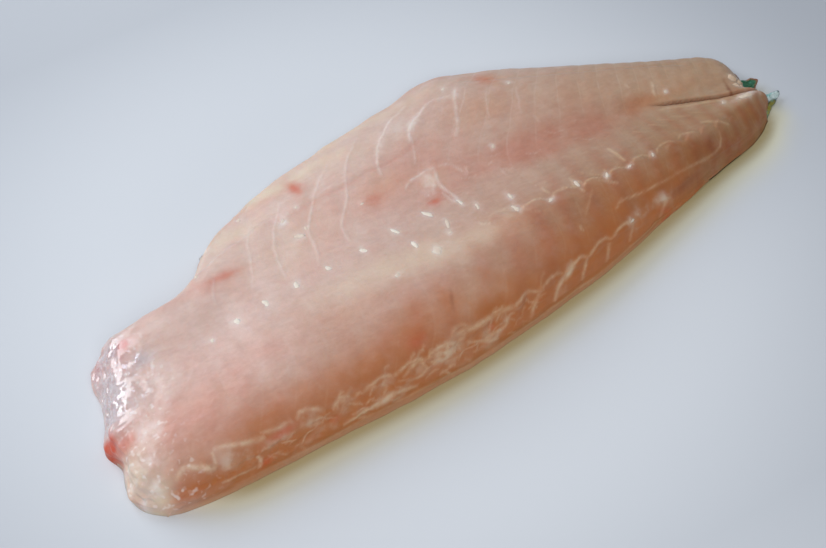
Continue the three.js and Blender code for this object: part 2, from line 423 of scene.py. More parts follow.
# half width, brightness and path of each membrane seen on the top, in mm
septa = [(.55, 1, [(19, 52.6), (14, 50), (9, 48), (2, 42), (-3, 37.5), (-7, 32), (-9.5, 27), (-11, 22)]),
         (1.6, .4, [(8, 46), (1, 40), (-5, 34.5)]),
         (.5, .65, [(-6, 48), (-15, 40), (-22, 31), (-27, 21), (-36, 9), (-38, -1)]),
         (.5, .6, [(-23, 42), (-33, 33), (-40, 25), (-47, 15), (-50, 4), (-54, -5)]),
         (.5, .5, [(-47, 36), (-57, 23), (-61, 16), (-64, 8), (-66, -3)]),
         (.5, .4, [(-62, 34), (-67, 26), (-72, 14), (-75, 6), (-78.5, 0)]),
         (.5, .4, [(-88, 12), (-91, 6), (-93, 0)]),
         (.6, 1, [(35.4, 45), (26.6, 47), (18.5, 43), (11.5, 38), (7.5, 31.5)]),
         (.45, .4, [(10, 35), (6, 26), (3, 20)]), (1.2, .45, [(20, 44.5), (13, 38)]),
         (.8, .6, [(40, 48.5), (36.5, 44.5), (33, 38), (29, 31), (24, 24)]),
         (.5, .3, [(50, 42), (45, 34), (40, 25)]), (.5, .3, [(60, 36), (56, 28), (52, 20)]),
         (.6, .75, [(-7, 11.5), (-3, 14), (3, 15), (9.5, 15.2)]),
         (.7, .8, [(8.6, 15.8), (5.8, 9.8), (5.4, 5.1), (6.2, 0), (6.4, -5)]),
         (.7, .6, [(6, 11), (3, 7), (.6, 4.2)]),
         (.5, .45, [(9.5, 15), (13.3, 14), (15.5, 10.5), (17, 5)]),
         (.5, .5, [(4, 3), (4.2, -1), (5.2, -5)]), (.5, .45, [(19, 10), (17, 5)]),
         (.6, .35, [(29, 1), (29, -4)]),
         (.6, .6, [(4.8, -19.8), (6, -22), (8.5, -23.2)]),
         (.5, .5, [(8.8, -21), (11, -19.6), (16.8, -19.4), (20, -22)]),
         (.5, .7, [(21.5, -25), (23, -23.2), (27, -22.6), (30, -22.9), (32, -25.4)]),
         (.5, .65, [(34, -25.6), (36, -23.8), (40, -23.3), (43, -24), (45, -26)]),
         (.5, .65, [(47.5, -27), (49.5, -25.4), (53.6, -24.8), (56.8, -26.8)]),
         (.5, .6, [(59.6, -27), (61.5, -25.4), (65, -25), (68, -26.8)]),
         (.5, .5, [(70, -27), (73, -24.6), (77, -24.2), (80.4, -26.4)]),
         (.5, .45, [(82, -26.6), (85, -24), (90, -23), (93, -24.6)]),
         (.5, .4, [(95, -24), (98, -22.2), (103.6, -24)]),
         (.6, .6, [(34.4, -17.6), (34.6, -20.4), (34.8, -23)]),
         (.6, .6, [(46.2, -19), (46, -22), (45, -25), (46.6, -29.6)]),
         (.6, .5, [(44.6, -24.6), (47.4, -23.4), (49, -24)]),
         (.6, .6, [(60, -22.8), (59, -26), (57.2, -29), (60, -31.5)]),
         (.7, .75, [(69.2, -12.6), (69.4, -18), (69.8, -24)]), (.6, .3, [(56, 17.5), (56, 13)]),
         (.7, .65, [(104, 1.6), (105.5, 5), (107.6, 8.2)]), (.5, .35, [(97, 13), (97.4, 9.6)]),
         (.5, .5, [(36.4, -40.4), (35.4, -41.6), (36.4, -43.2)]),
         (.5, .5, [(52, -40.5), (56.6, -38), (62.6, -38.1), (72.8, -37.6), (83.8, -36.5)]),
         (.45, .4, [(82, -36.6), (94.9, -34.8), (106.9, -33.1), (111.1, -30.7), (113, -26.5)]),
         (.5, .5, [(108.3, -20.4), (114.8, -22.8), (119.1, -26)]),
         (.7, .5, [(101, -3.8), (107, -5.6), (113, -8), (119, -10), (125, -12), (132, -14.4)]),
         (.4, .3, [(84, -9), (89, -14)]), (.4, .3, [(92, -9), (97, -14)]),
         (.4, .3, [(97, -8), (103, -14)]), (.4, .3, [(103, -9.5), (109, -15)]),
         (.4, .25, [(110, -12), (116, -17)]), (.5, .3, [(-38, 27), (-30, 29), (-22, 28)]),
         (.8, 1, [(-137, -56), (-133.3, -54.7), (-130.2, -55.6), (-126.3, -57.5), (-123.2, -58.9)]),
         (.6, .7, [(-122.4, -54.5), (-122.6, -57), (-123.4, -59)]),
         (.7, .8, [(-121.9, -54.5), (-116.2, -55.8), (-110.3, -57.7), (-104.6, -58)]),
         (.5, .6, [(-106, -57), (-100, -57.9), (-94, -57.9)]),
         (.6, .7, [(-32.4, -57.4), (-25.2, -56.8), (-19.2, -56.9), (-10, -56.2), (-2.1, -55.9)]),
         (.6, .6, [(-93, -58), (-90, -56.8), (-86, -57.6), (-82, -59)]),
         (.5, .5, [(-78, -58.4), (-74, -58.8), (-70.7, -57.6)]),
         (.5, .5, [(-46, -58), (-42.6, -57), (-41, -55.8)]),
         (.6, .5, [(-31, -57.2), (-29, -56), (-26.6, -55), (-23.6, -56.2), (-19, -57.4)]),
         (.5, .35, [(40, -38), (46, -33), (50, -29)]), (.5, .3, [(-128, -10), (-118, -8), (-108, -12)]),
         (.5, .25, [(-120, -30), (-112, -22), (-100, -20)])]

# the same on the back's side wall, as mm along and mm up the wall
wallHeight = 11
upWall = wall * wallHeight
wallSepta = [(.6, .6, [(-123.6, 5.5), (-118.7, 5.5), (-110.2, 4.4)]),
             (.7, .9, [(-109.5, 9.9), (-108.6, 6.5), (-109.7, 3.3)]),
             (.6, .7, [(-80, 11), (-76, 12.6), (-72.2, 12.1)]),
             (.8, .8, [(-78.2, 3.3), (-66.5, 4.4), (-57.4, 5.6), (-47.6, 3.5)]),
             (1.1, .9, [(-65, 4.2), (-60, 5.2), (-56.5, 5.7)]),
             (.55, .7, [(-53, 9.5), (-48, 11.4), (-44.7, 11), (-43.2, 8.4), (-47.2, 6.8), (-52, 8)]),
             (.8, .9, [(-39.7, 11), (-35, 10.3), (-30.6, 8.8)]),
             (.7, .8, [(-32.9, 13), (-34, 10), (-34.4, 7.5)]),
             (.6, .6, [(-19.3, 6.2), (-14.8, 6.8), (-8.4, 7), (-7.6, 12)]),
             (.6, .6, [(-26, 10), (-20, 6.5), (-14, 4)]),
             (.8, .6, [(1.6, 3.3), (5, 7.7), (9.7, 12.1)]),
             (.9, .65, [(13.2, 3.4), (17, 8.2), (22.2, 11.5)]),
             (1, .9, [(19.5, 8.6), (22.5, 10.6), (25.5, 12)]),
             (.8, .6, [(27.6, 3.6), (29.6, 7.6), (32.4, 11.4)]),
             (.8, .6, [(40.4, 3.6), (42.4, 7.6), (44.2, 10.4)]),
             (.8, .4, [(53.5, 4), (55.5, 7.6), (57.5, 11)]), (1, .45, [(71, 3.4), (74, 7.6), (77.5, 10)]),
             (.5, .5, [(-120, 1.5), (-90, 1.2), (-60, 1.5), (-30, 1.2), (0, 1.2), (30, 1.5), (60, 1.8),
                 (84, 2.4)])]

# the seam's pale edge in scallops a muscle band long, a web of torn membrane over the head half of
# the wall, and faint threads over the middle of the top
pick = np.random.default_rng(7)
for startX in np.arange(-68, 46, 12.6):
    wallSepta.append((.45, pick.uniform(.5, .8), [(startX, 10.9), (startX + 4, 12), (startX + 9, 12.3),
        (startX + 12.8, 11)]))
for _ in range(80):
    startX, level, run, lift = (pick.uniform(-110, 8), pick.uniform(3, 11.5),
        pick.uniform(2.5, 7), pick.uniform(-4.5, 4.5))
    wallSepta.append((pick.uniform(.3, .45), pick.uniform(.2, .6),
        [(startX, level), (startX + run / 2, level + lift * .7 + .5), (startX + run, level + lift)]))
for _ in range(46):
    startX, startY, run, turn = (pick.uniform(-30, 72), pick.uniform(-27, 12),
        pick.uniform(3, 8), pick.uniform(-.5, 1.6))
    septa.append((.35, pick.uniform(.12, .32),
        [(startX, startY), (startX + run * .5, startY - run * .4 * turn),
            (startX + run, startY - run * turn * .5)]))
topStrokes = strokes(x, y, septa, 120) * (wall > .95)
wallStrokes = strokes(x, upWall, wallSepta, 300) * (wall < 1.4)
stroke = np.maximum(topStrokes, wallStrokes)

relief = onTop * (.45 * layeredNoise(x, y, 30, 1) + .12 * layeredNoise(x, y, 5, 2))
relief += onTop * (-.2 * bump(toBand, 1) * np.clip(bandShow, 0, 1) - .1 * np.cos(2 * math.pi * band)
    * (bellyShow * .8 + .35))
crease = y - curveThrough([(-60, 22), (-38, 26), (-14, 27), (4, 29), (20, 33)], x) - .8 * noise(x, y, 6, 18)
creaseShow = ease(-58, -42, x) * (1 - ease(2, 18, x))
relief += (-.7 * channel - (.6 + 1.5 * cleftShow) * cleftShow
    * bump(np.where(cleft > 0, cleft, cleft * .8), .34) + .9 * cleftShow * ease(0, .7, cleft)
    * (1 - ease(.8, 9, cleft)))
relief += (-.3 * bump(crease, .6) * creaseShow + .25 * ease(-.5, .5, crease) * (1 - ease(1, 7, crease))
    * creaseShow)
relief += .55 * (1 - ease(-.7, .5, scallop)) * ease(-14, -4, scallop) * scallopShow
relief += -.45 * bump(strip, .9) * stripShow - .5 * ease(-.5, 1, strip) * stripShow
relief += -1.3 * ease(-1.5, 1.5, flap) * (1 - ease(6, 22, flap)) * flapShow
relief += (head * ease(0, 4, height) * (.5 * patches(wetPatches) * layeredNoise(x, y, 3, 26)
    + 1.2 * layeredNoise(x, y, 10, 21) + .32 * layeredNoise(x + .6 * y, y - .6 * x, 4, 25)
    + .08 * layeredNoise(x, y, 1.6, 28)))
relief += (onWall * ease(.08, .25, wall) * (1 - rounding)
    * (-.8 * ease(-132, -112, x) * np.sin(math.pi * np.clip(wall, 0, 1))
        + .5 * layeredNoise(x, wall * 12, 6, 30)))
relief += (.25 * bump(wall - 1.0, .06) * (1 + layeredNoise(x, y, 3, 33)) * nearFoot * (1 - rounding)
    * ease(-128, -110, x))
relief += ((1 - ease(-10, 50, x)) * bump(wall - .7, .45) * (.5 * layeredNoise(x, wall * 12, 4, 34)
    + .3 * layeredNoise(x, wall * 12, 1.6, 38)) * nearFoot)
relief += .22 * np.maximum(topStrokes, .4 * wallStrokes)
relief *= ease(0, 1.2, height) * nearFoot

# the seam runs in shallow scallops, and the head end is lumpy in outline
seamWave = ((.5 * (np.abs(np.sin(math.pi * (band + .3))) - .6) + .6 * noise(x, 0 * y, 6, 63))
    * (1 - ease(55, 90, x)))
y = y - seamWave * bump(wall - 1, .4) * nearFoot * (wall < 2)
x = (x + (1 - ease(2, 16, fromHead)) * (1.5 * noise(y, height * 2, 8, 61)
    + .6 * noise(y, height * 3, 3, 62)) * ease(.2, 2, height))

surface = np.stack([x, y, fleshBase + height], axis=2)
surface = surface + gridNormals(surface) * relief[..., None]

# the foot: pressed down to the board under the back, and just above the skin elsewhere
ragged = .5 * layeredNoise(x, y, 5, 40)
footDrop = ((fleshBase - .04) * (1 - ease(0, 2.2, height)) * (1 - ease(88, 96, x) * (1 - ease(120, 130, x))
    * (y < 0)))
surface[..., 2] -= footDrop
surface[..., 1] += ((ragged + .7 * noise(x, y, 13, 47) + .6 * noise(x, 0 * y, 6, 48))
    * (1 - ease(.5, 4, height)) * nearFoot * np.where(y > back + middleY + 5, 1, .3))
surface[..., 1] -= .7 * (1 - ease(0, 1.6, height)) * nearFoot * (wall < 1)


pinkPatches = [(-86, 11, 13, 3.5, .7), (-45, 11, 5, 10, .5), (-20, 13, 9, 7, .55), (10, 22, 16, 11, .45),
               (24, 8, 14, 7, .55), (45, 3, 18, 6, .5),
               (75, 0, 22, 6, .7), (-1, 0, 5, 3, .6), (-40, 24, 12, 6, .3), (-128, -42, 14, 8, .7),
               (-136, 0, 8, 9, .6), (-145, -32, 7, 7, .8),
               (-42, -50, 9, 8, .5), (14, -46, 14, 8, .5), (-100, 12, 12, 6, .4), (-112, -50, 16, 4, .5),
               (50, 18, 14, 12, .25), (117, -32.5, 6, 3, .8), (6, 8, 10, 6, .4), (54, 4, 16, 7, .3),
               (104, -30, 6, 3, .5), (24, -42, 8, 6, .5), (-40, 38, 3, 6, .9),
               (-116, -34, 16, 9, .6), (-86, -31, 14, 6, .35), (17, -29, 14, 6, .4), (56, 4, 12, 6, .4),
               (6, 8, 12, 8, .3)]
bloodPatches = [(-128.4, 1.9, 2.2, 2.2, 1.6), (-131, -1.5, 2, 3, .35), (-149.3, -29, 2.6, 3.4, 1),
                (-148.5, -29, 1.6, 2.2, .8), (-145, -34, 4, 3.5, .5), (-40.5, 38, 2.2, 4.6, .7),
                (52, 47, 4, 4.5, .35),
                (-1, 0, 2.6, 1.6, .55), (-20, 14, 3, 2.5, .35), (-84, 11, 7, 1.6, .4),
                (-139, 2, 2.5, 4, .35), (75, -44.5, 4, .7, .3),
                (-43.5, -54, 3.5, 2, .3)]
amberPatches = [(-117, -38, 14, 8, .25), (-88, -52, 20, 5, .3), (17, -30, 16, 7, .45),
                (55, -29, 16, 5, .5), (40, 32, 14, 8, .45), (-58, -31, 18, 7, .25), (-50, 41, 10, 2.5, .3),
                (-43, -53, 8, 7, .5), (-25, -52, 9, 6, .15), (-25, -44, 2.5, 7, .35),
                (60, -37, 20, 6, .2), (100, -30, 16, 5, .4), (110, -20, 20, 7, .25), (112, 0, 14, 3, .5),
                (80, 18, 18, 8, .2), (96, 3, 8, 4, .55), (130, -22, 12, 5, .35), (54, 47, 4, 5, .6),
                (118, 4, 10, 5, .3), (133, -25, 8, 5, .6), (-14, 17, 10, 6, .4), (74, -38, 14, 3, .5)]
# pale cream patches: real pale edges and whitish mottling, and partly painted sheen, most on the loin's crown
paleAndSheenPatches = [(-76, 33, 16, 6, .8), (-60, 12, 30, 14, .35), (-20, 40, 22, 9, .4), (4, 10, 5, 4, .6, 20),
               (-45, 45, 24, 4, .9), (-8, 54, 26, 4, .8), (-40, -20, 26, 7, .7), (-5, -26, 22, 6, .6),
               (-101, 20, 5, 6, .8), (-144, -57, 5, 4, .8), (-147, -47, 6, 10, 1), (-90, 26, 8, 6, .5),
               (-12, -50, 12, 5, .3), (22, -45, 12, 5, .12), (30, 55, 20, 4, .25), (107, -22, 14, 5, .2),
               (119, 4, 14, 6, .25), (128, -17, 9, 3, .35)]
whitePatches = [(-139, -12, 9, 9, .3), (-125, -9, 5, 4, .5), (-125, -22, 5, 6, .4), (-137, -36, 5, 4, .7),
                (-141, -46, 4, 4, .5), (-148, -54, 2.4, 1.6, .8),
                (-142.6, -54, 1.6, 2, .7), (-148.6, -47, 2, 1.6, .7), (-147.5, -42, 1.6, 2, .6),
                (9, 43, 8, 4, .3), (-52.5, 24, 2.4, 1.2, .7, 40),
                (-52, 13.5, 2, 1.4, .8), (-83, 32.5, 2, 1.4, .8), (75, -41.8, 4, 1.4, .7),
                (57, -45.3, 2, 1, .7), (-3, 37, 5, 1.6, .5, 50), (13, 39, 5, 1.6, .5, 40),
                (38, 46, 4, 1.6, .5, 50), (2, 10, 6, 2.2, .5, 60), (137, -16, 6, 1.6, .8),
                (145, -6, 4, 2.5, .6)]
shadePatches = [(-23.5, -46, 3.6, .7, .35, 65), (133.5, -9, 4.5, .7, .7, 70), (87, -39.5, 8, 1.2, .45, 15),
    (107, -29, 4, 1.5, .3, 30)]

# patches on the back's side wall, placed in mm along and mm up the wall
wallWhite = [(-117, 11.5, 5, 3, .9, -20), (-101, 11.5, 3.5, 2, .7, 10), (-89, 11, 4, 2, .7),
             (-74, 8.8, 3, 2, .45, 20), (-62, 4.8, 3.5, 1, .8, 8), (-60, 9, 3.5, 2.2, .6, 10),
             (-46, 9.5, 3, 2.2, .45), (-35, 10, 5, 2.6, .8, 10), (-30, 9, 2, 3.5, .6, 60),
             (-17, 7.5, 3, 3, .5), (-11, 6.8, 4, 1.6, .6, 40), (23, 10.6, 3, 1.6, .6, 40),
             (58, 8, 3, 2, .4), (60, 12, 2.5, 1.5, .5), (65, 11.5, 3, 1.5, .35), (75, 10.5, 3, 2, .35)]
wallAmber = [(-134, 9, 7, 4, 1), (-126, 8.4, 4, 3, .9), (-107, 5, 4, 3, 1), (-94, 8, 4, 3, .8),
    (-82, 5, 5, 3, .8), (-68, 8, 3, 3, .7), (-52, 6, 4, 3, .7), (-21, 9, 3, 2.5, .8), (-4, 8, 4, 4, .4),
    (8, 5, 2, 4, .4, 40)]
wallBlood = [(-107, 4.6, 2.2, 2, .5), (-99, 12.5, 6, 1, .5), (-80, 7, 2, 1.4, .35),
    (-14, 9, 1.4, 1.2, .35), (76, .6, 6, .8, .35)]

# bone ends and torn bits of muscle: place along and across, length, width, turn and height of each,
# in mm and degrees
boneEnds = [(-101.5, -14, 1.8, 1.2, 60, .3), (-90.5, -11, 3, 2, 100, .4), (-78, -9.8, 3.4, 2.1, 95, .4),
            (-65, -8.3, 3, 1.9, 80, .4), (-51.5, -7.8, 2.6, 1.5, 110, .3),
            (-36.6, -7.2, 3.6, 1.6, 120, .35), (-21.8, -5.8, 4.2, 1.3, 112, .35),
            (-7.2, -4.2, 5, 1.5, 118, .4), (6.4, -5.8, 4, 1.2, 95, .35), (-19.8, -15.5, 4.4, 1.4, 88, .4)]
torn = [(-33.5, -26, 2.2, 1.4, 30, .35), (-15, -23.2, 4.8, 3, 80, .45), (-3.8, -12.8, 5.6, 1.5, 65, .4),
        (-6, -18, 2, 1, 20, .35), (10.2, -11.8, 4.6, 1.2, 75, .45),
        (22.8, -14.8, 5, 1.5, 78, .45), (20.2, -22.2, 4, 1.8, 92, .4), (33, -26, 3.2, 1.8, 10, .45),
        (46.4, -24, 3.4, 1.2, 85, .35),
        (58.4, -26.6, 3.2, 1, 60, .3), (69, -26.8, 2, .8, 20, .25), (80.5, -26.2, 2, 1, 60, .3),
        (-51.6, 13.5, 3.4, 2, 150, .4), (-48, 15.6, 2, 1.1, 60, .35),
        (-24.5, 14.3, 1.4, 1.1, 0, .3), (-45.5, 27, 1, .9, 0, .3), (109.3, 1.6, 1.5, 1.1, 20, .3),
        (33.4, 12.3, 1.6, .9, 60, .3), (58.7, 38.7, 1.8, 1.4, 0, .3),
        (35.3, 51, 1.8, 1.2, 20, .3), (57.3, -45.3, 2.2, .9, 20, .3), (-84, 32.8, 2.8, 2, 60, .5),
        (-64.7, 38.5, 2, 1.6, 60, .4), (-92.5, 17.5, 2, 1, 70, .3), (-53, 24, 3.4, 1.2, 45, .25),
        (126, -14.6, 3, .9, 60, .5), (136.5, -16, 7, 2, 3, .6)]
knob = [(140.2, -3.8, 4.4, 3.4, -55, 2.6), (142.6, -6.2, 4, 3, -20, 2.4), (141.6, -9.2, 4.6, 2.4, 10, 2),
    (138.4, -8.4, 3, 2, -40, 1.4)]

tailward = ease(-80, 150, x - .6 * y)
toBack = 1 - ease(.17, .6, v + .05 * noise(x, y, 20, 50))
toFoot = 1 - ease(.17, .36, v + .05 * noise(x, y, 16, 49))
onBand = onWall * ease(.1, .3, wall)
headHalf = 1 - ease(-5, 45, x)
webWhite = onBand * headHalf * ease(.1, .6, layeredNoise(x * .6, wall * 11, 4, 64)) * ease(-118, -100, x)
spots = .55 * patches([(px, py, length * .55 + .5, width * .6 + .6, 1, turn) for px, py, length, width,
    turn, _ in boneEnds + torn + knob])
masks = {
    "band": band, "bandShow": np.clip(bandShow, 0, 1), "stroke": np.clip(stroke, 0, 1),
    "wet": patches(wetPatches) * ease(.5, 3, height),
    "wall": wall, "side": side, "head": head * ease(.5, 3, height), "deep": tailward, "back": toBack,
    "amber": np.clip(patches(amberPatches) + patches(wallAmber, upWall) * (wall < 2) + .42 * toFoot
        * ease(-140, -70, x), 0, 1),
    # along the crease the pink tint is partly painted shade of the fold
    "pink": np.clip(patches(pinkPatches) + .5 * channel + .4 * creaseShow * bump(crease + .6, 1), 0, 1),
    # pale: real cream patches, partly painted sheen
    "pale": patches(paleAndSheenPatches),
    "white": np.clip(patches(whitePatches) + patches(wallWhite, upWall) * (wall < 2) + .35 * webWhite
        + spots, 0, 1),
    "blood": np.clip(patches(bloodPatches) + patches(wallBlood, upWall) * (wall < 2), 0, 1),
    "shade": np.clip(.8 * cleftShow * bump(np.where(cleft > 0, cleft * .9, cleft * 1.3), .42)
        + patches(shadePatches), 0, 1),
}

rim = np.concatenate([np.arange(columns)[::-1], (np.arange(1, rows)) * columns,
                      (rows - 1) * columns + np.arange(1, columns),
                      (np.arange(1, rows - 1) * columns + columns - 1)[::-1]])
lineU = u[:, 0] * .86 + .07
lineX, lineY, _, _ = planOf(lineU, np.full(rows, .5))
line = np.stack([lineX + middleX, lineY + middleY, np.full(rows, fleshBase)], axis=1)
lineOf = np.concatenate([np.zeros(columns, int), np.arange(1, rows), np.full(columns - 1, rows - 1),
    np.arange(1, rows - 1)[::-1]])
fleshPoints, underFaces = closeBelow(surface.reshape(-1, 3), rim, line, lineOf, [0, .02, .2, .4, .6, .8],
    fleshBase, .03)
spare = len(fleshPoints) - rows * columns
fleshMasks = {key: np.concatenate([np.broadcast_to(field, (rows, columns)).ravel(),
    np.zeros(spare)]) for key, field in masks.items()}
fleshPiece = makePiece("fleshSurface", fleshPoints * mm, gridFaces(rows, columns).tolist() + underFaces,
    fleshMasks)
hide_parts("flesh")
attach(fleshPiece, "root")
print("flesh", len(fleshPiece.data.polygons), "faces")


# a film of moisture and fine muscle grain: a height for the bump and a value for the roughness
def buildWetGrain():
    group = bpy.data.node_groups.new("wetGrain", "ShaderNodeTree")
    group.interface.new_socket("Stretch", in_out="INPUT", socket_type="NodeSocketFloat").default_value = 6
    group.interface.new_socket("Scale", in_out="INPUT", socket_type="NodeSocketFloat").default_value = 150
    group.interface.new_socket("Height", in_out="OUTPUT", socket_type="NodeSocketFloat")
    group.interface.new_socket("Mottle", in_out="OUTPUT", socket_type="NodeSocketFloat")
    enter, leave = group.nodes.new("NodeGroupInput"), group.nodes.new("NodeGroupOutput")
    where = addNode(group, "ShaderNodeTexCoord").outputs["Object"]
    stretch = addNode(group, "ShaderNodeCombineXYZ", None,
        {0: 1.0, 1: enter.outputs["Stretch"], 2: enter.outputs["Stretch"]}).outputs[0]
    stretched = addNode(group, "ShaderNodeVectorMath", {"operation": "MULTIPLY"},
        {0: where, 1: stretch}).outputs[0]
    fibre = noiseNode(group, stretched, enter.outputs["Scale"], 4, .6)
    mottle = noiseNode(group, where, enter.outputs["Scale"], 3, .55)
    lumps = noiseNode(group, where, mathNode(group, "MULTIPLY", enter.outputs["Scale"], 3.5), 2, .5)
    both = mathNode(group, "ADD", mathNode(group, "MULTIPLY", fibre, .7),
        mathNode(group, "MULTIPLY", lumps, .3))
    group.links.new(both, leave.inputs["Height"])
    group.links.new(mottle, leave.inputs["Mottle"])
    return group


wetGrain = buildWetGrain()


def useGroup(tree, group, values):
    node = tree.nodes.new("ShaderNodeGroup")
    node.node_tree = group
    for key, value in values.items():
        node.inputs[key].default_value = value
    return node


fleshFinish = {
    "bellyHead": (.72, .53, .47, 1), "bellyTail": (.45, .295, .185, 1),      # down the belly side
    "loinHead": (.57, .335, .25, 1), "loinTail": (.33, .185, .085, 1),      # down the thick back
    "pink": (.96, .73, .69, 1), "amber": (.94, .60, .34, 1), "wall": (.46, .155, .045, 1),
    # foot is a pale rim colour, partly painted light against the shade at the wall's foot
    "foot": (.62, .35, .23, 1), "wallFilm": (.63, .47, .33, 1),
    # cream is the pale patches' colour, partly painted sheen
    "cream": (.76, .62, .47, 1), "membrane": (.88, .80, .76, 1),
    "septum": (.84, .74, .69, 1), "fringe": (.76, .58, .38, 1), "blood": (.60, .075, .02, 1),
    "shade": (.18, .05, .02, 1),
    "subsurface": .35, "radius": (1, .42, .25), "scatter": .003,
    "roughness": .42, "coat": .05, "coatRoughness": .06, "coatIor": 1.9, "bump": .00022,
}

material, tree, shader = newMaterial("flesh")
where = addNode(tree, "ShaderNodeTexCoord").outputs["Object"]
grain = useGroup(tree, wetGrain, {"Stretch": 2.2, "Scale": 170.0})
broad = noiseNode(tree, where, 45, 3, .6)
fine = noiseNode(tree, where, 420, 4, .65)
read = {key: readAttribute(tree, key) for key in masks}

color = mixColor(tree, read["deep"], mixColor(tree, read["back"], fleshFinish["bellyHead"],
    fleshFinish["loinHead"]),
                 mixColor(tree, read["back"], fleshFinish["bellyTail"], fleshFinish["loinTail"]))
color = mixColor(tree, rangeNode(tree, broad, .4, .7, 0, .3), color, fleshFinish["pink"], "MULTIPLY")
segment = rangeNode(tree, mathNode(tree, "PINGPONG", read["band"], .5), .1, .5)
color = mixColor(tree, mathNode(tree, "MULTIPLY", segment,
    rangeNode(tree, mathNode(tree, "MULTIPLY", read["back"], read["deep"]), .03, .4, .1, .6)), color,
        fleshFinish["pink"], "MULTIPLY")
color = mixColor(tree, rangeNode(tree, grain.outputs["Height"], .35, .65, .55, 0), color,
    (.85, .80, .78, 1), "MULTIPLY")
color = mixColor(tree, mathNode(tree, "MULTIPLY", read["pink"], rangeNode(tree, broad, .3, .7, .6, 1)),
    color, fleshFinish["pink"], "MULTIPLY")
color = mixColor(tree, mathNode(tree, "MULTIPLY", read["amber"], rangeNode(tree, broad, .3, .7, .7, 1)),
    color, fleshFinish["amber"], "MULTIPLY")
# pale cream patches, partly painted sheen
color = mixColor(tree, mathNode(tree, "MULTIPLY", read["pale"], rangeNode(tree, broad, .3, .65, .4, .9)),
    color, fleshFinish["cream"])
color = mixColor(tree, rangeNode(tree, grain.outputs["Mottle"], .45, .75, 0, .05), color,
    fleshFinish["membrane"])
color = mixColor(tree, mathNode(tree, "MULTIPLY", read["side"],
    rangeNode(tree, grain.outputs["Mottle"], .3, .7, 1, .75)), color, fleshFinish["wall"])


# a thin line where a phase is a whole number, or where a distance is 0
def thinLine(distance, width, show):
    line = rangeNode(tree, distance, width * .35, width, 1, 0)
    return mathNode(tree, "MULTIPLY", line, show, True)


broken = rangeNode(tree, noiseNode(tree, where, 130, 2, .6), .35, .6, .25, 1)
bandLine = thinLine(mathNode(tree, "PINGPONG", read["band"], .5), .055, read["bandShow"])
lines = mathNode(tree, "MAXIMUM", mathNode(tree, "MULTIPLY", mathNode(tree, "MULTIPLY", bandLine, .6),
    broken), mathNode(tree, "MULTIPLY", read["stroke"], rangeNode(tree, noiseNode(tree, where, 420, 2, .6),
        .32, .6, .5, .85)))
color = mixColor(tree, lines, color,
    mixColor(tree, rangeNode(tree, mathNode(tree, "ADD", read["back"], read["deep"]), .3, 1.2),
        fleshFinish["septum"], fleshFinish["fringe"]))
# a pale band up the foot of the back's wall: partly its real pale rim, partly painted light that lifts the
# contact shade
color = mixColor(tree, rangeNode(tree, read["wall"], .03, .17, .6, 0), color, fleshFinish["foot"])
film = mixColor(tree, read["side"], fleshFinish["membrane"], fleshFinish["wallFilm"])
color = mixColor(tree, mathNode(tree, "MULTIPLY", read["white"],
    rangeNode(tree, grain.outputs["Mottle"], .38, .6, .25, .85)), color, film)
# white specks on the head cut: a whitish foamy film, and partly painted glints
specksAndGlints = noiseNode(tree, where, 400, 1, .5)
color = mixColor(tree, mathNode(tree, "MULTIPLY", read["head"], rangeNode(tree, specksAndGlints, .56, .74, 0, .6)),
    color, fleshFinish["membrane"])
color = mixColor(tree, mathNode(tree, "MULTIPLY", read["blood"], rangeNode(tree, broad, .25, .6, .6, 1)),
    color, fleshFinish["blood"])
color = mixColor(tree, read["shade"], color, fleshFinish["shade"])
color = mixColor(tree, mathNode(tree, "MULTIPLY", read["wet"], .5), color, (.50, .44, .50, 1))
tree.links.new(color, shader.inputs["Base Color"])

rough = rangeNode(tree, grain.outputs["Mottle"], .3, .7, fleshFinish["roughness"] - .06,
    fleshFinish["roughness"] + .08)
rough = mathNode(tree, "SUBTRACT", rough, mathNode(tree, "MULTIPLY", read["wet"], .16))
tree.links.new(rough, shader.inputs["Roughness"])
coat = mathNode(tree, "ADD", read["wet"], fleshFinish["coat"], True)
tree.links.new(coat, shader.inputs["Coat Weight"])
relief = mathNode(tree, "ADD", grain.outputs["Height"], mathNode(tree, "MULTIPLY", lines, .35))
relief = mathNode(tree, "ADD", relief,
    mathNode(tree, "MULTIPLY", mathNode(tree, "MULTIPLY", fine,
        mathNode(tree, "ADD", mathNode(tree, "MULTIPLY", read["head"], .3),
            mathNode(tree, "MULTIPLY", read["wet"], .45))), 4.5))
bumpNode = addNode(tree, "ShaderNodeBump", None, {"Strength": 1.0, "Distance": fleshFinish["bump"],
    "Height": relief})
tree.links.new(bumpNode.outputs[0], shader.inputs["Normal"])
shader.inputs["Subsurface Weight"].default_value = fleshFinish["subsurface"]
shader.inputs["Subsurface Radius"].default_value = fleshFinish["radius"]
shader.inputs["Subsurface Scale"].default_value = fleshFinish["scatter"]
shader.inputs["Coat Roughness"].default_value = fleshFinish["coatRoughness"]
shader.inputs["Coat IOR"].default_value = fleshFinish["coatIor"]
shader.inputs["IOR"].default_value = 1.38
fleshPiece.data.materials.append(material)
print("flesh finish")


# bone ends and shreds on the flesh

# several meshes as one: their points one after another and their faces renumbered
def joinParts(parts):
    starts = np.cumsum([0] + [len(points) for points, _ in parts])
    faces = [[int(corner + start) for corner in face] for (_, partFaces),
        start in zip(parts, starts) for face in partFaces]
    return np.concatenate([points for points, _ in parts]), faces


normals = gridNormals(surface)
topCut = int(columns * .17)


